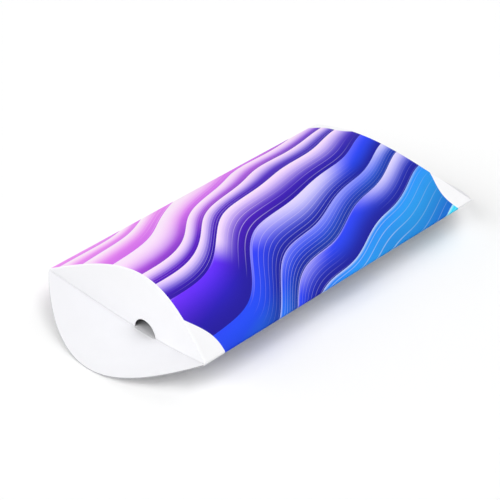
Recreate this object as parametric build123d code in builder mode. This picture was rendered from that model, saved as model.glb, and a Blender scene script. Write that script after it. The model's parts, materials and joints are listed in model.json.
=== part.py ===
from build123d import *
import math
import os

# A pillow box of folding boxboard. Two bowed panels meet along the side folds. At each end the
# top flap is tucked in and the bottom flap stands open. X runs across the box, Y along it, with
# the front end at -Y, and Z up from the floor under the belly of the bottom panel.

# Driving sizes of the box, in millimetres
box_width = 90.0  # across the side folds
box_length = 160.0  # between the corners of the two ends
box_depth = 29.0  # through the belly of the two bows
board = 0.4  # thickness of the boxboard
fold_inner_radius = 0.2  # inside of a side fold

# Driving sizes of the end flaps
crease_setback = 10.0  # from the corner line back to the middle of a curved crease
crease_gap = 0.1  # where the board is cut through along a curved crease
tuck_setback = 11.0  # from the corner line back to the free edge of a tucked flap
tuck_clearance = 0.15  # between that free edge and the bottom panel
tuck_relief = 1.5  # how far the tips of a tucked flap stop short of the side folds
notch_radius = 6.0  # half-round thumb notch in the free edge
flap_reach = 20.6  # from the corner line out to the rim of an open flap
open_relief = 0.6  # how far the tips of an open flap stop short of the side folds

# Driving sizes of the glued seam inside the left edge
glue_flap_width = 12.0
glue_flap_inset = 0.9  # from the outside of the fold to the flap's outer edge
glue_flap_setback = 2.0  # from the corner line to the flap's ends at the fold
glue_flap_taper = 12.0  # how much further back the ends lie at its inner edge
glue_width = 8.0
glue_length = 124.0
glue_thickness = 0.08

overrun = 5.0  # how far a cut runs past what it cuts
handle_share = 4 / 3  # a cubic's handles stand this much higher over its ends than its crown

# Worked out from the driving sizes
half_width = box_width / 2
half_length = box_length / 2
mid_height = box_depth / 2  # the side folds lie here
rise = box_depth / 2  # of each bow over the plane of the side folds
fold_radius = fold_inner_radius + board
fold_angle = math.atan(math.pi * rise / box_width)  # slope at which a bow meets its fold
bow_end = half_width - fold_radius * (1 - math.sin(fold_angle))
bow_end_rise = fold_radius * math.cos(fold_angle)

crease_slope = crease_setback / rise  # setback for each millimetre of height over the folds
tuck_slope = tuck_setback / rise
wall_slope = (crease_slope + tuck_slope) / 2  # of a tucked flap where it crosses that plane
wall_lean = (tuck_setback - crease_setback) / box_depth
mitre_slope = crease_slope + 1  # of the 45 degree mitre behind a top crease
free_edge_depth = board + tuck_clearance  # below the belly's outer face

under_floor = Plane.XY.offset(-overrun)  # an upright cut starts here
through = box_depth + 2 * overrun


def bow(depth):
    """Control points of a bow this deep in the board, as width and height over the folds."""
    end = bow_end - depth * math.sin(fold_angle)
    low = bow_end_rise - depth * math.cos(fold_angle)
    lift = handle_share * (rise - depth - low)
    reach = lift / math.tan(fold_angle)
    return [(-end, low), (reach - end, low + lift), (end - reach, low + lift), (end, low)]


def board_section(outer_depth, inner_depth, upward):
    """Section across a panel, between two depths of its board."""
    turn = 1 if upward else -1
    with BuildSketch(Plane.XZ) as section:
        with BuildLine():
            outer = Bezier(*[(x, mid_height + turn * z) for x, z in bow(outer_depth)])
            inner = Bezier(*[(x, mid_height + turn * z) for x, z in bow(inner_depth)])
            Line(outer @ 0, inner @ 0)
            Line(outer @ 1, inner @ 1)
        make_face()
    return section.sketch


def end_curve(slope, shift=0.0):
    """Control points in plan of an end's curve, set back by slope times the height of the bow."""
    return [(x, slope * z + shift - half_length) for x, z in bow(0.0)]


def behind(slope, shift=0.0):
    """Plan area on the box's side of a front end curve, in the plane of the side folds."""
    with BuildSketch(Plane.XY.offset(mid_height)) as area:
        with BuildLine():
            edge = Bezier(*end_curve(slope, shift))
            far = half_length + box_depth
            Polyline(edge @ 0, (-bow_end, far), (bow_end, far), edge @ 1)
        make_face()
    return area.sketch


def side_fold(side):
    """Section of the rounded fold at the left (-1) or right (1) edge."""
    centre = (side * (half_width - fold_radius), mid_height)
    swing = 90 - math.degrees(fold_angle)
    start = -swing if side > 0 else 180 - swing
    with BuildSketch(Plane.XZ) as section:
        with BuildLine():
            outer = CenterArc(centre, fold_radius, start, 2 * swing)
            inner = CenterArc(centre, fold_inner_radius, start, 2 * swing)
            Line(outer @ 0, inner @ 0)
            Line(outer @ 1, inner @ 1)
        make_face()
    return section.sketch


# Top panel, mitred at 45 degrees behind each curved crease
with BuildPart() as top_panel:
    extrude(board_section(0.0, board, upward=True), amount=half_length, both=True)
    front_area = behind(mitre_slope, crease_gap / 2)
    back_area = mirror(front_area, about=Plane.XZ, mode=Mode.PRIVATE)
    mitre_run = math.hypot(rise + overrun, rise + overrun)
    extrude(front_area, amount=mitre_run, dir=(0, -1, 1), mode=Mode.INTERSECT)
    extrude(back_area, amount=mitre_run, dir=(0, 1, 1), mode=Mode.INTERSECT)

# Bottom panel, cut off square along each curved crease
with BuildPart() as bottom_panel:
    extrude(board_section(0.0, board, upward=False), amount=half_length, both=True)
    front_area = behind(crease_slope, crease_gap / 2)
    back_area = mirror(front_area, about=Plane.XZ, mode=Mode.PRIVATE)
    extrude(front_area, amount=rise + overrun, both=True, mode=Mode.INTERSECT)
    extrude(back_area, amount=rise + overrun, both=True, mode=Mode.INTERSECT)

# Side folds
with BuildPart() as left_side_fold:
    extrude(side_fold(-1), amount=half_length, both=True)
with BuildPart() as right_side_fold:
    extrude(side_fold(1), amount=half_length, both=True)

# Glue flap inside the left edge, on the glue that holds it to the bottom panel
glue_flap_edge = -half_width + glue_flap_inset
with BuildPart() as glue_flap:
    depth = board + glue_thickness
    extrude(board_section(depth, depth + board, upward=False), amount=half_length, both=True)
    with BuildSketch(under_floor):
        with BuildLine():
            outer_end = half_length - glue_flap_setback
            inner_end = outer_end - glue_flap_taper
            inner_edge = glue_flap_edge + glue_flap_width
            Polyline(
                (glue_flap_edge, -outer_end),
                (inner_edge, -inner_end),
                (inner_edge, inner_end),
                (glue_flap_edge, outer_end),
                close=True,
            )
        make_face()
    extrude(amount=through, mode=Mode.INTERSECT)

with BuildPart() as glue_line:
    extrude(board_section(board, depth, upward=False), amount=half_length, both=True)
    with BuildSketch(under_floor):
        with Locations((glue_flap_edge + glue_flap_width / 2, 0)):
            Rectangle(glue_width, glue_length)
    extrude(amount=through, mode=Mode.INTERSECT)

# Tucked top flap: a curved wall that hangs from the crease and leans in towards its free edge
with BuildPart() as front_top_flap:
    with BuildSketch(Plane.XY.offset(mid_height)):
        with BuildLine():
            outside = Bezier(*end_curve(wall_slope))
            inside = Bezier(*end_curve(wall_slope, board))
            Line(outside @ 0, inside @ 0)
            Line(outside @ 1, inside @ 1)
        make_face()
    extrude(amount=box_depth, dir=(0, wall_lean, -1), both=True)
    extrude(
        behind(mitre_slope, -crease_gap / 2),
        amount=math.hypot(box_depth, box_depth),
        dir=(0, -1, 1),
        mode=Mode.SUBTRACT,
    )
    # the free edge follows the inside of the bottom panel
    with BuildSketch(Plane.XZ):
        with BuildLine():
            edge = Bezier(*[(x, mid_height - z) for x, z in bow(free_edge_depth)])
            left_top, right_top = edge @ 0, edge @ 1
            lowest = -box_depth
            Polyline(left_top, (left_top.X, lowest), (right_top.X, lowest), right_top)
        make_face()
    extrude(amount=box_length, mode=Mode.SUBTRACT)
    with BuildSketch(Plane.XZ):
        with Locations((0, free_edge_depth)):
            Circle(notch_radius)
    extrude(amount=box_length, mode=Mode.SUBTRACT)
    with BuildSketch(under_floor):
        with Locations((0, -half_length)):
            Rectangle(2 * (half_width - tuck_relief), box_length)
    extrude(amount=through, mode=Mode.INTERSECT)

# Open bottom flap: it carries the bottom panel's bow on, out to a rim that is a parabola in plan
with BuildPart() as front_bottom_flap:
    full_reach = half_length + flap_reach + overrun
    extrude(board_section(0.0, board, upward=False), amount=full_reach)
    with BuildSketch(under_floor):
        with BuildLine():
            crease = Bezier(*end_curve(crease_slope, -crease_gap / 2))
            rim_handle = (0, -half_length - 2 * flap_reach)
            rim = Bezier((-half_width, -half_length), rim_handle, (half_width, -half_length))
            Line(crease @ 0, rim @ 0)
            Line(crease @ 1, rim @ 1)
        make_face()
    extrude(amount=through, mode=Mode.INTERSECT)
    with BuildSketch(under_floor):
        with Locations((0, -half_length)):
            Rectangle(2 * (half_width - open_relief), box_length)
    extrude(amount=through, mode=Mode.INTERSECT)

# The back end is the front end, mirrored
with BuildPart() as back_top_flap:
    mirror(front_top_flap.part, about=Plane.XZ)
with BuildPart() as back_bottom_flap:
    mirror(front_bottom_flap.part, about=Plane.XZ)

pieces = {
    "top_panel": top_panel,
    "bottom_panel": bottom_panel,
    "left_side_fold": left_side_fold,
    "right_side_fold": right_side_fold,
    "glue_flap": glue_flap,
    "glue_line": glue_line,
    "front_top_flap": front_top_flap,
    "front_bottom_flap": front_bottom_flap,
    "back_top_flap": back_top_flap,
    "back_bottom_flap": back_bottom_flap,
}

os.makedirs("parts", exist_ok=True)
for name, piece in pieces.items():
    piece.part.label = name
    export_step(piece.part, f"parts/{name}.step")
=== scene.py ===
import json
import math

import bpy
import numpy as np
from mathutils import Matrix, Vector


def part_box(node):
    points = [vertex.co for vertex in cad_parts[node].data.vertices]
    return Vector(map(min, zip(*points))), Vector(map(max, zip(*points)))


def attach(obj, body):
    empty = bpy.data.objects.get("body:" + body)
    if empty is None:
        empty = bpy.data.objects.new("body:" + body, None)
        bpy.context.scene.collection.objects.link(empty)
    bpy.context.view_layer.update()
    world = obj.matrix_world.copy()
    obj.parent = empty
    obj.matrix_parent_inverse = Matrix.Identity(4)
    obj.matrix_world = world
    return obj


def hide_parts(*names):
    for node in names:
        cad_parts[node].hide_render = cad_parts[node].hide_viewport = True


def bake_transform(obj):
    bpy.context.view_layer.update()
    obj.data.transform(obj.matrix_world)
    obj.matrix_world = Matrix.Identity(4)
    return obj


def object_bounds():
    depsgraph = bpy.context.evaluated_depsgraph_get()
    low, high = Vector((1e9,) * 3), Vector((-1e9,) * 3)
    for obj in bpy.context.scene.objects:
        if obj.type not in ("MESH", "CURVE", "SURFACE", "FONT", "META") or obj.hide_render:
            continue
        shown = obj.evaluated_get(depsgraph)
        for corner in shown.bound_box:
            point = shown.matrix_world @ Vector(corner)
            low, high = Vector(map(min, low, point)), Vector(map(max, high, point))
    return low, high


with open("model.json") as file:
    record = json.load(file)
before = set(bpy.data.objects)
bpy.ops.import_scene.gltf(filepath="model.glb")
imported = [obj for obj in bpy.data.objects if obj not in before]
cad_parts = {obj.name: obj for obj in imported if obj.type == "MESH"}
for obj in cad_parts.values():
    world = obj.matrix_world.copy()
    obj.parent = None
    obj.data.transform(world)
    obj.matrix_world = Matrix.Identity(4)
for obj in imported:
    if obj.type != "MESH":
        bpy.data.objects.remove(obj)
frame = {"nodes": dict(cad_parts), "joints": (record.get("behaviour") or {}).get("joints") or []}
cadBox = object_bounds()
print("frame loaded:", len(frame["nodes"]), "nodes")

# The box's own sizes, in millimetres: the outer ones are read from the frame
millimetresPerMetre = 1000.0
boxHigh = cadBox[1] * millimetresPerMetre
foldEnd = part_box("right_side_fold")[1] * millimetresPerMetre
hinges = {joint["name"]: Vector(joint["pos_m"]) * millimetresPerMetre for joint in frame["joints"]}

boxSizes = {
    "board": 0.4,
    "foldInnerRadius": 0.2,
    "bowFullness": 4 / 3,  # a cubic's handles stand this much higher than its crown
    "tuckLean": 1.0,  # how far a tucked flap's free edge lies behind its crease
    "creaseRadius": 0.5,  # outside of the top creases
    "scoreHeight": 0.07,  # the bead that scoring leaves inside a bottom crease
    "scoreReach": 0.5,
    "tuckClearance": 0.08,
    "notchRadius": 6.0,
}
halfWidth = boxHigh.x
halfLength = foldEnd.y
midHeight = rise = boxHigh.z / 2
creaseSetback = halfLength - hinges["back_top_crease"].y
flapReach = boxHigh.y - halfLength
board = boxSizes["board"]
foldRadius = boxSizes["foldInnerRadius"] + board
foldAngle = math.atan(math.pi * rise / boxHigh.x / 2)  # slope at which a bow meets its fold
foldArc = foldRadius * (math.pi - 2 * foldAngle)  # along the outside of a side fold
bowEnd = halfWidth - foldRadius * (1 - math.sin(foldAngle))
bowEndRise = foldRadius * math.cos(foldAngle)
creaseSlope = creaseSetback / rise

# Small helpers


def linearColour(hexColour):
    # sRGB hex to the linear colour that shaders take
    parts = [int(hexColour[i:i + 2], 16) / 255 for i in (1, 3, 5)]
    return (*[c / 12.92 if c <= 0.04045 else ((c + 0.055) / 1.055) ** 2.4 for c in parts], 1.0)


def addNode(tree, kind, inputs=None, **settings):
    # kind is the node's type without ShaderNode at its front; an input is a value, a socket, or a
    # node whose first output is used
    node = tree.nodes.new("ShaderNode" + kind)
    for name, value in settings.items():
        setattr(node, name, value)
    for key, value in (inputs or {}).items():
        if isinstance(value, bpy.types.Node):
            value = value.outputs[0]
        if isinstance(value, bpy.types.NodeSocket):
            tree.links.new(value, node.inputs[key])
        else:
            node.inputs[key].default_value = value
    return node


def startMaterial(name):
    material = bpy.data.materials.new(name)
    material.use_nodes = True
    material.node_tree.nodes.clear()
    return material, material.node_tree


# Boards and glue

boardLooks = {
    "coatedWhite": "#fbfbfd",
    "coatedRoughness": 0.45,
    "uncoatedWhite": "#f1f1f4",
    "uncoatedRoughness": 0.8,
    # the cut edge's grey: partly the open plies, partly painted shade for the dark line along the
    # rims
    "cutEdgeGreyAndShade": "#b4b4b8",
    "cutRoughness": 0.9,
    "specularLevel": 0.25,
    "formationSize": 7.0,  # mm, the cloudiness of the sheet
    "formationDepth": 0.012,
    "formationDetail": 3.0,
    "formationBetween": (0.3, 0.7),  # the noise at which the sheet is dullest and brightest
    "fibreSize": 0.9,  # mm; real fibres are finer, drawn as coarse as shows
    "fibreDetail": 4.0,
    "fibreUnevenness": 0.6,
    "fibreRelief": 0.012,  # mm
    "reliefThroughCoating": 0.3,  # share of it that still shows on the coated side
    "glue": "#ede8d6",
    "glueRoughness": 0.35,
}


def finishBoard(tree, colour, roughness, fibreRelief):
    # what all the boards share: cloudy formation of the sheet, and the fibres' relief
    place = addNode(tree, "TexCoord").outputs["Object"]
    inMillimetres = addNode(
        tree, "VectorMath", {0: place, "Scale": millimetresPerMetre}, operation="SCALE",
    )
    clouds = addNode(
        tree, "TexNoise",
        {
            "Vector": inMillimetres, "Scale": 1 / boardLooks["formationSize"],
            "Detail": boardLooks["formationDetail"],
        },
    )
    dullest, brightest = boardLooks["formationBetween"]
    cloudLevel = addNode(
        tree, "MapRange",
        {
            "Value": clouds, "From Min": dullest, "From Max": brightest,
            "To Min": 1 - boardLooks["formationDepth"],
        },
    )
    clouded = addNode(tree, "VectorMath", {0: colour, "Scale": cloudLevel}, operation="SCALE")
    fibres = addNode(
        tree, "TexNoise",
        {
            "Vector": inMillimetres, "Scale": 1 / boardLooks["fibreSize"],
            "Detail": boardLooks["fibreDetail"], "Roughness": boardLooks["fibreUnevenness"],
        },
    )
    relief = addNode(
        tree, "Bump", {"Height": fibres, "Distance": fibreRelief / millimetresPerMetre},
    )
    shader = addNode(
        tree, "BsdfPrincipled",
        {"Base Color": clouded, "Roughness": roughness, "Normal": relief},
    )
    shader.inputs["Specular IOR Level"].default_value = boardLooks["specularLevel"]
    addNode(tree, "OutputMaterial", {"Surface": shader})
    return shader


def plainBoard(name, hexColour, roughness, fibreRelief):
    material, tree = startMaterial(name)
    finishBoard(tree, linearColour(hexColour)[:3], roughness, fibreRelief)
    return material


coatedRelief = boardLooks["fibreRelief"] * boardLooks["reliefThroughCoating"]

# Clay-coated side of folding boxboard: the coating fills the fibres, so it is bright and even,
# with a low satin sheen
coatedBoxboard = plainBoard(
    "coatedFoldingBoxboard", boardLooks["coatedWhite"], boardLooks["coatedRoughness"], coatedRelief,
)
# Uncoated inside: the fibres lie open, so it is matt and a little duller
uncoatedBoxboard = plainBoard(
    "uncoatedBoxboardInside", boardLooks["uncoatedWhite"], boardLooks["uncoatedRoughness"],
    boardLooks["fibreRelief"],
)
# Die-cut edge: the knife leaves the plies open, so it is rough, matt and greyer than the faces
# its grey is darker than the plies' own: painted shade for the dark line along the flaps' rims
dieCutEdgeAndPaintedShade = plainBoard(
    "dieCutBoardEdgeAndPaintedShade", boardLooks["cutEdgeGreyAndShade"], boardLooks["cutRoughness"], boardLooks["fibreRelief"],
)
# Cold carton glue (a dried PVA dispersion): creamy and slightly shiny
cartonGlue = plainBoard(
    "driedCartonGlue", boardLooks["glue"], boardLooks["glueRoughness"], boardLooks["fibreRelief"],
)

# The print: flowing ribbons that run along the box, in inks that change from the left side fold to
# the right one and from the front end to the back one

printLooks = {
    "ribbonWidth": 13.0,  # mm
    "ribbonSlant": 0.22,  # across for each mm along
    # lengthwise swells of the ribbons: length and height in mm, and phase
    "swells": [(190.0, 11.0, 0.4), (88.0, 4.0, 2.1), (47.0, 1.3, 4.0)],
    "wander": 30.0,  # mm, how far slow noise pushes the ribbons about
    "wanderSize": 90.0,
    "wanderDetail": 1.0,
    "widthChange": 0.55,  # how much the ribbons differ in width
    "widthRhythm": 1.7,  # and how fast that changes from ribbon to ribbon
    # inks from the left front corner, 0, to the right back one, 1: lit at a ribbon's crest, deep at
    # its far side, and pale where it fades
    "litInks": {
        0.0: "#ffa6fa", 0.2: "#f490fc", 0.34: "#8834fc",
        0.52: "#3c24fa", 0.74: "#1c50fa", 1.0: "#34dcff",
    },
    "deepInks": {
        0.0: "#f08cf0", 0.2: "#cc60e8", 0.34: "#5410b8",
        0.52: "#1c069c", 0.74: "#0c149a", 1.0: "#0a72d8",
    },
    "paleInks": {0.0: "#fff0fd", 0.4: "#fbe2ff", 0.7: "#dcd6ff", 1.0: "#ccf6ff"},
    "paleSide": 0.98,  # what the left side fold adds to the sums of paleBetween, the right one 0
    "paleReach": 0.8,  # share of a ribbon over which its pale side fades
    "inkAlong": 0.36,  # how far the colour runs through the inks from end to end
    "inkAcross": 0.64,  # and from the left side fold to the right one
    "chanceShift": 0.16,  # how far a ribbon's colour may lie from its neighbours'
    "chanceStep": 31.7,  # to another row of random numbers
    "fadeStep": 3.7,  # through the fading noise from ribbon to ribbon
    "fadeRate": 0.018,  # and for each mm along
    "fadeChance": 0.5,  # what a ribbon's own random number adds to that noise
    "paleBetween": (0.87, 1.15),  # the sums at which a ribbon starts to pale and is palest
    "crestBetween": (0.35, 0.6),  # the noise at which its crest shows faintly and in full
    "crestPaleness": 0.8,
    "crestWidth": 0.07,  # share of a ribbon that its pale crest takes
    "lineSpacing": 1.9,  # mm between the fine contour lines
    "lineWidth": 0.28,
    "lineCore": 0.4,  # share of the width that has the full strength
    "lineStrength": 0.4,
    "lineChance": 0.2,  # what a ribbon's random number adds to the fading noise
    "linesBetween": (0.5, 0.75),  # the sums at which the lines show faintly and in full
    # mm from the middle to where the print ends, and its slant for each mm across
    "frontEdge": 77.5,
    "frontSlant": -0.13,
    "backEdge": 73.5,
    "backSlant": 0.0,
    "marginSwells": [(64.0, 3.0, 0.9), (29.0, 1.1, 2.6)],
    "wrap": 6.0,  # mm, how far the print runs under the side folds
    "wrapSwells": [(52.0, 1.6, 0.3)],
    "edgeBlur": 0.08,  # mm to each side of the print's edge
    "roughness": 0.5,
    "specularLevel": 0.1,
}


def addSwells(tree, along, swells, start):
    # start plus a sum of sines along the sheet
    total = start
    for length, height, phase in swells:
        angle = addNode(
            tree, "Math", {0: along, 1: 2 * math.pi / length, 2: phase}, operation="MULTIPLY_ADD",
        )
        wave = addNode(tree, "Math", {0: angle}, operation="SINE")
        total = addNode(tree, "Math", {0: wave, 1: height, 2: total}, operation="MULTIPLY_ADD")
    return total


def makePrint():
    # Offset print under matt lamination on the coated side: strong even colours with crisp edges
    material, tree = startMaterial("offsetPrintedBoxboard")
    looks = printLooks

    # place on the flat sheet, which runs on round the side folds to the underside
    place = addNode(tree, "TexCoord").outputs["Object"]
    inMillimetres = addNode(
        tree, "VectorMath", {0: place, "Scale": millimetresPerMetre}, operation="SCALE",
    )
    onX, along, up = addNode(tree, "SeparateXYZ", {0: inMillimetres}).outputs
    foldTop = midHeight + bowEndRise
    foldBottom = midHeight - bowEndRise
    roundFold = addNode(
        tree, "MapRange",
        {"Value": up, "From Min": foldTop, "From Max": foldBottom, "To Min": -1.0},
    )
    sideways = addNode(tree, "Math", {0: onX}, operation="ABSOLUTE")
    insideFold = addNode(tree, "Math", {0: bowEnd, 1: sideways}, operation="SUBTRACT")
    fromFold = addNode(tree, "Math", {0: insideFold, 1: 0.0}, operation="MAXIMUM")
    foldPassed = addNode(tree, "Math", {0: roundFold, 1: 1.0}, operation="ADD")
    pastFold = addNode(tree, "Math", {0: roundFold, 1: fromFold}, operation="MULTIPLY")
    ontoUnderside = addNode(
        tree, "Math", {0: foldPassed, 1: foldArc / 2, 2: pastFold}, operation="MULTIPLY_ADD",
    )
    side = addNode(tree, "Math", {0: onX}, operation="SIGN")
    fromMiddle = addNode(tree, "Math", {0: ontoUnderside, 1: bowEnd}, operation="ADD")
    across = addNode(tree, "Math", {0: side, 1: fromMiddle}, operation="MULTIPLY")

    # ribbons: slow noise and swells push straight bands about
    sheetPlace = addNode(tree, "CombineXYZ", {0: across, 1: along})
    slowNoise = addNode(
        tree, "TexNoise",
        {
            "Vector": sheetPlace, "Scale": 1 / looks["wanderSize"],
            "Detail": looks["wanderDetail"],
        },
    )
    wandering = addNode(
        tree, "Math", {0: slowNoise, 1: looks["wander"], 2: across}, operation="MULTIPLY_ADD",
    )
    slanted = addNode(
        tree, "Math", {0: along, 1: looks["ribbonSlant"], 2: wandering}, operation="MULTIPLY_ADD",
    )
    swelled = addSwells(tree, along, looks["swells"], slanted)
    even = addNode(tree, "Math", {0: swelled, 1: looks["ribbonWidth"]}, operation="DIVIDE")
    rhythm = addNode(tree, "Math", {0: even, 1: looks["widthRhythm"]}, operation="MULTIPLY")
    unevenness = addNode(tree, "Math", {0: rhythm}, operation="SINE")
    ribbon = addNode(
        tree, "Math", {0: unevenness, 1: looks["widthChange"] / 2, 2: even},
        operation="MULTIPLY_ADD",
    )
    number = addNode(tree, "Math", {0: ribbon}, operation="FLOOR")
    share = addNode(tree, "Math", {0: ribbon}, operation="FRACT")
    chance = addNode(tree, "TexWhiteNoise", {"W": number}, noise_dimensions="1D")
    otherNumber = addNode(tree, "Math", {0: number, 1: looks["chanceStep"]}, operation="ADD")
    otherChance = addNode(tree, "TexWhiteNoise", {"W": otherNumber}, noise_dimensions="1D")

    # the place on the sheet picks the inks, shifted from ribbon to ribbon
    lengthShare = addNode(
        tree, "MapRange",
        {
            "Value": along, "From Min": -halfLength, "From Max": halfLength,
            "To Max": looks["inkAlong"],
        },
    )
    acrossShare = addNode(
        tree, "MapRange",
        {
            "Value": across, "From Min": -halfWidth, "From Max": halfWidth,
            "To Max": looks["inkAcross"],
        },
    )
    evenShade = addNode(tree, "Math", {0: lengthShare, 1: acrossShare}, operation="ADD")
    fromEven = addNode(tree, "Math", {0: chance, 1: 0.5}, operation="SUBTRACT")
    shade = addNode(
        tree, "Math", {0: fromEven, 1: looks["chanceShift"], 2: evenShade},
        operation="MULTIPLY_ADD",
    )
    ramps = {}
    for name in ("litInks", "deepInks", "paleInks"):
        ramps[name] = addNode(tree, "ValToRGB", {0: shade})
        stops = ramps[name].color_ramp.elements
        while len(stops) < len(looks[name]):
            stops.new(0.5)
        for stop, (shareAlong, ink) in zip(stops, looks[name].items()):
            stop.position = shareAlong
            stop.color = linearColour(ink)
    profile = addNode(tree, "MapRange", {"Value": share}, interpolation_type="SMOOTHSTEP")
    inks = addNode(
        tree, "Mix", {0: profile, 6: ramps["litInks"], 7: ramps["deepInks"]}, data_type="RGBA",
    ).outputs[2]

    # some ribbons pale towards their crest, and come and go along the box
    fadeStart = addNode(tree, "Math", {0: number, 1: looks["fadeStep"]}, operation="MULTIPLY")
    fadeRun = addNode(tree, "Math", {0: along, 1: looks["fadeRate"]}, operation="MULTIPLY")
    fadePlace = addNode(tree, "CombineXYZ", {0: fadeStart, 1: fadeRun})
    fadeNoise = addNode(tree, "TexNoise", {"Vector": fadePlace, "Scale": 1.0, "Detail": 0.0})
    paleSide = addNode(
        tree, "MapRange",
        {
            "Value": across, "From Min": halfWidth, "From Max": -halfWidth,
            "To Max": looks["paleSide"],
        },
    )
    ownFade = addNode(
        tree, "Math", {0: otherChance, 1: looks["fadeChance"], 2: fadeNoise},
        operation="MULTIPLY_ADD",
    )
    paleChance = addNode(tree, "Math", {0: ownFade, 1: paleSide}, operation="ADD")
    paleFrom, paleTo = looks["paleBetween"]
    fade = addNode(
        tree, "MapRange", {"Value": paleChance, "From Min": paleFrom, "From Max": paleTo},
        interpolation_type="SMOOTHSTEP",
    )
    nearCrest = addNode(
        tree, "MapRange", {"Value": share, "From Min": looks["paleReach"], "From Max": 0.0},
        interpolation_type="SMOOTHSTEP",
    )
    crestFade = addNode(tree, "Math", {0: fade, 1: nearCrest}, operation="MULTIPLY")
    onCrest = addNode(
        tree, "MapRange", {"Value": share, "From Min": looks["crestWidth"], "From Max": 0.0},
    )
    crestFrom, crestTo = looks["crestBetween"]
    crestChance = addNode(
        tree, "MapRange", {"Value": fadeNoise, "From Min": crestFrom, "From Max": crestTo},
    )
    crest = addNode(tree, "Math", {0: onCrest, 1: crestChance}, operation="MULTIPLY")
    paleCrest = addNode(tree, "Math", {0: crest, 1: looks["crestPaleness"]}, operation="MULTIPLY")
    paleness = addNode(tree, "Math", {0: crestFade, 1: paleCrest}, operation="MAXIMUM")
    tinted = addNode(
        tree, "Mix", {0: paleness, 6: inks, 7: ramps["paleInks"]}, data_type="RGBA",
    ).outputs[2]

    # fine contour lines follow the ribbons
    lineCount = looks["ribbonWidth"] / looks["lineSpacing"]
    lineShare = looks["lineWidth"] / looks["lineSpacing"] / 2
    lineNumber = addNode(tree, "Math", {0: ribbon, 1: lineCount}, operation="MULTIPLY")
    toLine = addNode(tree, "Math", {0: lineNumber, 1: 0.5}, operation="PINGPONG")
    line = addNode(
        tree, "MapRange",
        {"Value": toLine, "From Min": lineShare, "From Max": lineShare * looks["lineCore"]},
    )
    lineChance = addNode(tree, "Math", {0: chance, 1: looks["lineChance"]}, operation="MULTIPLY")
    lineNoise = addNode(tree, "Math", {0: fadeNoise, 1: lineChance}, operation="ADD")
    linesFrom, linesTo = looks["linesBetween"]
    lineFade = addNode(
        tree, "MapRange",
        {
            "Value": lineNoise, "From Min": linesFrom, "From Max": linesTo,
            "To Max": looks["lineStrength"],
        },
    )
    paleLine = addNode(tree, "Math", {0: line, 1: lineFade}, operation="MULTIPLY")
    lined = addNode(
        tree, "Mix", {0: paleLine, 6: tinted, 7: ramps["paleInks"]}, data_type="RGBA",
    ).outputs[2]

    # bare board past the print's wavy edges, at both ends and under the side folds
    fromFront = {"Value": along, "From Min": -halfLength, "From Max": halfLength}
    edgePlace = addNode(
        tree, "MapRange", fromFront | {"To Min": looks["frontEdge"], "To Max": looks["backEdge"]},
    )
    edgeSlant = addNode(
        tree, "MapRange", fromFront | {"To Min": looks["frontSlant"], "To Max": looks["backSlant"]},
    )
    slantedEdge = addNode(
        tree, "Math", {0: across, 1: edgeSlant, 2: edgePlace}, operation="MULTIPLY_ADD",
    )
    lengthEdge = addSwells(tree, across, looks["marginSwells"], slantedEdge)
    lengthways = addNode(tree, "Math", {0: along}, operation="ABSOLUTE")
    pastEnd = addNode(tree, "Math", {0: lengthways, 1: lengthEdge}, operation="SUBTRACT")
    wrapEdge = addSwells(tree, along, looks["wrapSwells"], looks["wrap"])
    pastWrap = addNode(tree, "Math", {0: ontoUnderside, 1: wrapEdge}, operation="SUBTRACT")
    pastPrint = addNode(tree, "Math", {0: pastEnd, 1: pastWrap}, operation="MAXIMUM")
    blur = looks["edgeBlur"]
    bare = addNode(tree, "MapRange", {"Value": pastPrint, "From Min": -blur, "From Max": blur})
    bareBoard = linearColour(boardLooks["coatedWhite"])
    printed = addNode(tree, "Mix", {0: bare, 6: lined, 7: bareBoard}, data_type="RGBA").outputs[2]
    shader = finishBoard(tree, printed, looks["roughness"], coatedRelief)
    shader.inputs["Specular IOR Level"].default_value = looks["specularLevel"]
    return material


printedBoxboard = makePrint()
print("materials made")

# The panels and side folds

meshLooks = {
    "columns": 97,
    "edgeCrowding": 0.35,  # how much closer the columns stand towards the side folds
    "rows": 25,
    "foldColumns": 11,
    "creaseSteps": 6,
    "scoreSteps": 4,
    "notchColumns": 25,
    "notchFan": 1.5,  # the columns over a notch spread this much wider at the crease
    "bowSamples": 4001,  # along a bow, to read its height from
    "sharpAngle": 50.0,  # degrees, from which on the faces at an edge keep their own shading
}
crowding = meshLooks["edgeCrowding"]
evenly = np.linspace(-1, 1, meshLooks["columns"])
columnsAcross = bowEnd * (crowding * np.sin(evenly * math.pi / 2) + (1 - crowding) * evenly)
scoreShares = np.linspace(0, 1, meshLooks["scoreSteps"] + 1)
freeEdgeDepth = board + boxSizes["tuckClearance"]


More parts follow.
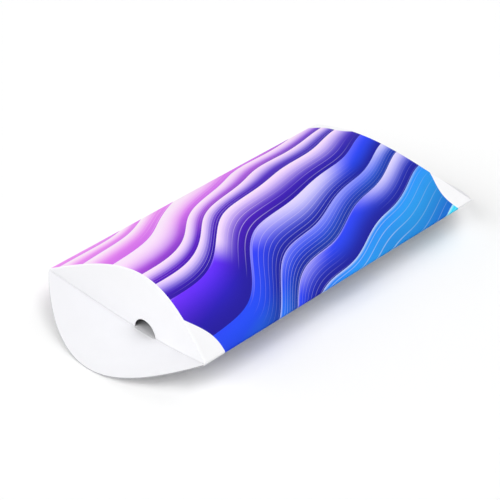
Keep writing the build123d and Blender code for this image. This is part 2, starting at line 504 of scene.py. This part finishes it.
def boardPiece(name, rows, outward, outside, thickness=board, bentRow=None, cut=False):
    # A closed sheet of board from a grid of points on its outside face, in rows of columns.
    # outside is the finish of that face; cut says in which columns the last row is a cut edge.
    points = np.array(rows, float)
    normals = np.cross(np.gradient(points, axis=1), np.gradient(points, axis=0))
    thickness, cut = [np.broadcast_to(value, points.shape[1]) for value in (thickness, cut)]
    if normals.sum(axis=(0, 1)) @ np.array(outward) < 0:
        points, normals = points[:, ::-1], -normals[:, ::-1]
        thickness, cut = thickness[::-1], cut[::-1]
    normals = normals / np.linalg.norm(normals, axis=2, keepdims=True)
    inside = points - normals * thickness[None, :, None]
    rowCount, columnCount = points.shape[:2]
    count = rowCount * columnCount
    place = np.arange(count).reshape(rowCount, columnCount)
    faces, kinds = [], []
    for r in range(rowCount - 1):
        for c in range(columnCount - 1):
            quad = [place[r, c], place[r, c + 1], place[r + 1, c + 1], place[r + 1, c]]
            faces += [quad, [i + count for i in reversed(quad)]]
            kinds += [0, 1]
    border = [*place[0, :], *place[1:, -1], *place[-1, -2::-1], *place[-2:0:-1, 0]]
    cutPoints = set(place[-1][cut])
    for a, b in zip(border, border[1:] + border[:1]):
        faces.append([b, a, a + count, b + count])
        kinds.append(3 if {a, b} <= cutPoints else 2)
    mesh = bpy.data.meshes.new(name)
    vertices = np.concatenate([points.reshape(-1, 3), inside.reshape(-1, 3)]) / millimetresPerMetre
    mesh.from_pydata(vertices.tolist(), [], [[int(i) for i in face] for face in faces])
    mesh.polygons.foreach_set("material_index", kinds)
    mesh.polygons.foreach_set("use_smooth", [True] * len(faces))
    # the cut edges' finish carries painted shade along the rims
    for finish in [outside, uncoatedBoxboard, coatedBoxboard, dieCutEdgeAndPaintedShade][:max(kinds) + 1]:
        mesh.materials.append(finish)
    mesh.set_sharp_from_angle(angle=math.radians(meshLooks["sharpAngle"]))
    if bentRow is not None:
        # the long faces beyond a crease keep their own shading
        row = place[bentRow].tolist()
        bent = {
            frozenset((a + side, b + side)) for a, b in zip(row, row[1:]) for side in (0, count)
        }
        for edge in mesh.edges:
            if frozenset(edge.vertices) in bent:
                edge.use_edge_sharp = True
    piece = bpy.data.objects.new(name, mesh)
    bpy.context.scene.collection.objects.link(piece)
    return piece


def bowHeight(across, depth=0.0):
    # height of a bow over the plane of the side folds, this deep in the board
    end = bowEnd - depth * math.sin(foldAngle)
    low = (foldRadius - depth) * math.cos(foldAngle)
    lift = boxSizes["bowFullness"] * (rise - depth - low)
    reach = lift / math.tan(foldAngle)
    t = np.linspace(0, 1, meshLooks["bowSamples"])
    x = (
        -end * (1 - t) ** 3 + 3 * (reach - end) * (1 - t) ** 2 * t
        + 3 * (end - reach) * (1 - t) * t ** 2 + end * t ** 3
    )
    return np.interp(across, x, low + 3 * lift * t * (1 - t))


def creaseLine(x):
    # place along Y of a front crease
    return creaseSlope * bowHeight(x) - halfLength


def freeEdge(x):
    # height of a tucked flap's free edge, with its thumb notch
    edge = midHeight - bowHeight(x, freeEdgeDepth)
    notch = np.sqrt(np.clip(boxSizes["notchRadius"] ** 2 - x ** 2, 0, None)) + freeEdgeDepth
    return np.where(np.abs(x) < boxSizes["notchRadius"], np.maximum(edge, notch), edge)


def creaseRadius(x):
    # the tips are too low for the whole radius
    return np.minimum(boxSizes["creaseRadius"], (bowHeight(x) + bowHeight(x, freeEdgeDepth)) / 2)


def scoreBead(share):
    # profile of the bead, by its share of the reach from the crease
    return boxSizes["scoreHeight"] * np.cos(share * math.pi / 2) ** 2


def gridRow(x, y, z):
    return np.stack(np.broadcast_arrays(x, y, z), -1)


def makeTopPanel():
    x = columnsAcross
    frontEnd = creaseLine(x) + creaseRadius(x)
    shares = np.linspace(1, -1, meshLooks["rows"])
    rows = [gridRow(x, frontEnd * share, midHeight + bowHeight(x)) for share in shares]
    return boardPiece("topPanel", rows, (0, 0, 1), printedBoxboard)


def makeBottomPanel():
    x = columnsAcross
    frontEnd = creaseLine(x)
    reach = boxSizes["scoreReach"]
    beadRows = [
        gridRow(x, frontEnd + share * reach, midHeight - bowHeight(x) + scoreBead(share))
        for share in scoreShares
    ]
    plainRows = [
        gridRow(x, (frontEnd + reach) * share, midHeight - bowHeight(x))
        for share in np.linspace(1, -1, meshLooks["rows"])[1:-1]
    ]
    farRows = [row * np.array([1, -1, 1]) for row in reversed(beadRows)]
    return boardPiece("bottomPanel", beadRows + plainRows + farRows, (0, 0, -1), printedBoxboard)


def makeSideFold(side, name):
    swing = math.pi / 2 - foldAngle
    turns = np.linspace(-swing, swing, meshLooks["foldColumns"])
    x = side * (halfWidth - foldRadius + foldRadius * np.cos(turns))
    z = midHeight + foldRadius * np.sin(turns)
    rows = [gridRow(x, share * halfLength, z) for share in np.linspace(-1, 1, meshLooks["rows"])]
    return boardPiece(name, rows, (side, 0, 0), printedBoxboard)


for piece, node in (
    (makeTopPanel(), "top_panel"),
    (makeBottomPanel(), "bottom_panel"),
    (makeSideFold(-1, "leftSideFold"), "left_side_fold"),
    (makeSideFold(1, "rightSideFold"), "right_side_fold"),
):
    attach(piece, "sleeve")
    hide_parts(node)
for node, finish in (("glue_flap", uncoatedBoxboard), ("glue_line", cartonGlue)):
    frame["nodes"][node].material_slots[0].material = finish
print("sleeve made")

# The end flaps: a curved crease makes the real flap turn inside out as it folds. So each flap is
# made as a band along its crease and two halves beyond it, split where a band that turns over fast
# and halves that turn the less the nearer they are to the side folds would turn alike

flapLooks = {
    # The share of the joint's turn that a point has, before it is eased: near for each mm past the
    # crease, in the band; start at the middle of the crease, in the halves, and there far more for
    # each mm past the crease and side less for each mm to the side
    "topTurns": {"near": 0.15, "start": 0.93, "far": 0.0074, "side": 0.0165},
    "bottomTurns": {"near": 0.13, "start": 0.9, "far": 0.0012, "side": 0.0151},
    "bandRows": 8,
    "halfRows": 10,
    "leastHeight": 0.01,  # of a half at its outermost column, as a share of the flap's
    "mostOfRadius": 0.8,  # no board is thicker than this share of its crease's radius
    "tipScore": 0.1,  # mm of the scored bead that the tips keep
}
# A top flap starts to turn below its rounding
creaseOffset = boxSizes["creaseRadius"] / creaseSlope
leanRate = boxSizes["tuckLean"] / boxHigh.z


def bandEnd(turns, x):
    # how far past the crease the halves take over from the band: both turn alike there
    return (turns["start"] - turns["side"] * np.abs(x)) / (turns["near"] - turns["far"])


def bandAndHalves(place, x, edgeX, start, change, edge):
    # rows of points down a flap, from start at x over the change to the free edge at edgeX
    isHalf = change < edge
    bandX = np.where(isHalf, x, edgeX)
    bandDepth = np.minimum(change, edge)
    band = [
        place(x + (bandX - x) * share, start + (bandDepth - start) * share)
        for share in np.linspace(0, 1, flapLooks["bandRows"])[1:]
    ]
    top = np.minimum(change, edge * (1 - flapLooks["leastHeight"]))
    halves = np.array([
        place(x + (edgeX - x) * share, top + (edge - top) * share)
        for share in np.linspace(0, 1, flapLooks["halfRows"])
    ])
    columns = np.flatnonzero(isHalf)
    return band, halves, slice(columns[0] - 1, columns[-1] + 2)


def topFlapRows():
    # round the crease, then straight down to the free edge
    notchRadius = boxSizes["notchRadius"]
    notchTurns = np.linspace(-math.pi / 2, math.pi / 2, meshLooks["notchColumns"])
    fanReach = notchRadius * meshLooks["notchFan"]
    outer = columnsAcross[columnsAcross > fanReach]
    outerAtEdge = notchRadius + (outer - fanReach) * (bowEnd - notchRadius) / (bowEnd - fanReach)
    x = np.concatenate([-outer[::-1], fanReach * notchTurns / (math.pi / 2), outer])
    edgeX = np.concatenate([-outerAtEdge[::-1], notchRadius * np.sin(notchTurns), outerAtEdge])
    radius = creaseRadius(x)
    crease = creaseLine(x)
    top = midHeight + bowHeight(x)
    rounding = []
    for turn in np.linspace(0, math.pi / 2, meshLooks["creaseSteps"] + 1):
        away = radius * (1 - np.sin(turn))
        down = radius * (1 - np.cos(turn))
        rounding.append(gridRow(x, crease + away, top - down))

    def wallPlace(x, depth):
        return gridRow(x, creaseLine(x) + leanRate * depth, midHeight + bowHeight(x) - depth)

    change = (bandEnd(flapLooks["topTurns"], x) + creaseOffset) / (1 + leanRate / creaseSlope)
    edge = midHeight + bowHeight(edgeX) - freeEdge(edgeX)
    band, halves, columns = bandAndHalves(wallPlace, x, edgeX, radius, change, edge)
    return rounding + band, halves, columns, np.minimum(board, flapLooks["mostOfRadius"] * radius)


def bottomFlapRows():
    # on from the scored crease to a rim that is a parabola in plan
    x = columnsAcross
    rim = -halfLength - flapReach * (1 - (x / halfWidth) ** 2)
    tipReach = (halfLength + creaseLine(x)) / 2 + flapLooks["tipScore"]
    reach = np.minimum(boxSizes["scoreReach"], tipReach)

    def openPlace(x, past):
        return gridRow(x, creaseLine(x) - past, midHeight - bowHeight(x))

    score = [openPlace(x, share * reach) + gridRow(0, 0, scoreBead(share)) for share in scoreShares]
    change = bandEnd(flapLooks["bottomTurns"], x)
    band, halves, columns = bandAndHalves(openPlace, x, x, reach, change, creaseLine(x) - rim)
    return score + band, halves, columns, np.full(x.shape, board)


def hangFlapPiece(piece, endName, level):
    # level is 1 for a top flap and -1 for a bottom one
    levelName = "top" if level > 0 else "bottom"
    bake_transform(piece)
    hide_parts(f"{endName}_{levelName}_flap")


def makeFlap(end, endName, level, rows, bentRow):
    band, halves, columns, thickness = rows
    mirror = np.array([1, end, 1])
    outward = (0, -end, 0) if level > 0 else (0, 0, -1)
    name = f"{endName}{'Top' if level > 0 else 'Bottom'}Flap"
    band = np.array(band) * mirror
    isTip = np.ones(band.shape[1], bool)  # there the band itself reaches the free edge
    isTip[columns.start + 1:columns.stop - 1] = False
    piece = boardPiece(name + "Crease", band, outward, coatedBoxboard, thickness, bentRow, isTip)
    hangFlapPiece(piece, endName, level)
    halves, thickness = halves[:, columns] * mirror, thickness[columns]
    middle = halves.shape[1] // 2
    for side, part, partName in (
        (-1, slice(0, middle + 1), "Left"),
        (1, slice(middle, None), "Right"),
    ):
        piece = boardPiece(
            name + partName, halves[:, part], outward, coatedBoxboard, thickness[part], cut=True,
        )
        hangFlapPiece(piece, endName, level)


for end, endName in ((1, "front"), (-1, "back")):
    makeFlap(end, endName, 1, topFlapRows(), meshLooks["creaseSteps"])
    makeFlap(end, endName, -1, bottomFlapRows(), meshLooks["scoreSteps"])
print("flaps made")

# Floor, light and camera

stageLooks = {
    "floorReach": 3.0,  # m from the middle
    "floorBounce": 0.93,  # the floor's grey for the light that falls on the box
    "floorSeen": 1.0,  # and as the camera sees it
    "worldLevel": 0.1,
    "worldSeen": 1.0,  # white
    # soft boxes: level, and in degrees the width, azimuth and elevation of each
    "lamps": {
        "rightLamp": (1.32, 45.0, 90.0, 65.0),
        "frontLamp": (1.16, 45.0, 0.0, 40.0),
        "backLamp": (0.84, 45.0, 180.0, 48.0),
        "leftLamp": (0.82, 45.0, 315.0, 20.0),
    },
}


def seenRays(tree):
    # 1 for what the camera sees, also in gloss or through glass
    paths = addNode(tree, "LightPath").outputs
    direct = addNode(
        tree, "Math", {0: paths["Is Camera Ray"], 1: paths["Is Glossy Ray"]}, operation="MAXIMUM",
    )
    return addNode(tree, "Math", {0: direct, 1: paths["Is Transmission Ray"]}, operation="MAXIMUM")


def makeFloor():
    reach = stageLooks["floorReach"]
    mesh = bpy.data.meshes.new("floor")
    corners = [(-reach, -reach, 0), (reach, -reach, 0), (reach, reach, 0), (-reach, reach, 0)]
    mesh.from_pydata(corners, [], [(0, 1, 2, 3)])
    floor = bpy.data.objects.new("floor", mesh)
    bpy.context.scene.collection.objects.link(floor)
    # Matt white paint on a studio floor: even and without gloss, so that only the shadow shows
    material, tree = startMaterial("paintedStudioFloor")
    level = addNode(
        tree, "MapRange",
        {
            "Value": seenRays(tree), "To Min": stageLooks["floorBounce"],
            "To Max": stageLooks["floorSeen"],
        },
    )
    paint = addNode(tree, "BsdfDiffuse", {"Color": level})
    addNode(tree, "OutputMaterial", {"Surface": paint})
    mesh.materials.append(material)


def makeWorld():
    world = bpy.data.worlds.new("studio")
    bpy.context.scene.world = world
    world.use_nodes = True
    tree = world.node_tree
    tree.nodes.clear()
    level = addNode(
        tree, "MapRange",
        {
            "Value": seenRays(tree), "To Min": stageLooks["worldLevel"],
            "To Max": stageLooks["worldSeen"],
        },
    )
    sky = addNode(tree, "Background", {"Color": (1, 1, 1, 1), "Strength": level})
    addNode(tree, "OutputWorld", {"Surface": sky})


def makeLamp(name, level, angle, azimuth, elevation):
    data = bpy.data.lights.new(name, "SUN")
    data.energy = level
    data.angle = math.radians(angle)
    lamp = bpy.data.objects.new(name, data)
    turn, lift = math.radians(azimuth), math.radians(elevation)
    towards = Vector((
        math.sin(turn) * math.cos(lift), -math.cos(turn) * math.cos(lift), math.sin(lift),
    ))
    lamp.rotation_euler = towards.to_track_quat("Z", "Y").to_euler()
    bpy.context.scene.collection.objects.link(lamp)


makeFloor()
makeWorld()
for name, settings in stageLooks["lamps"].items():
    makeLamp(name, *settings)

cameraLooks = {
    "azimuth": 44.2825,  # degrees
    "elevation": 34.4872,
    "place": (0.48833, -0.51001, 0.49154),  # m
    "lens": 147.66,  # mm
    "sensor": 36.0,
    "nearest": 0.01,  # m, what the camera still sees
    "farthest": 20.0,
}
cameraData = bpy.data.cameras.new("camera")
cameraData.lens = cameraLooks["lens"]
cameraData.sensor_width = cameraLooks["sensor"]
cameraData.clip_start = cameraLooks["nearest"]
cameraData.clip_end = cameraLooks["farthest"]
camera = bpy.data.objects.new("camera", cameraData)
camera.location = cameraLooks["place"]
camera.rotation_euler = (
    math.radians(90 - cameraLooks["elevation"]), 0, math.radians(cameraLooks["azimuth"]),
)
bpy.context.scene.collection.objects.link(camera)
bpy.context.scene.camera = camera
bpy.context.scene.view_settings.view_transform = "Standard"
print("stage made")
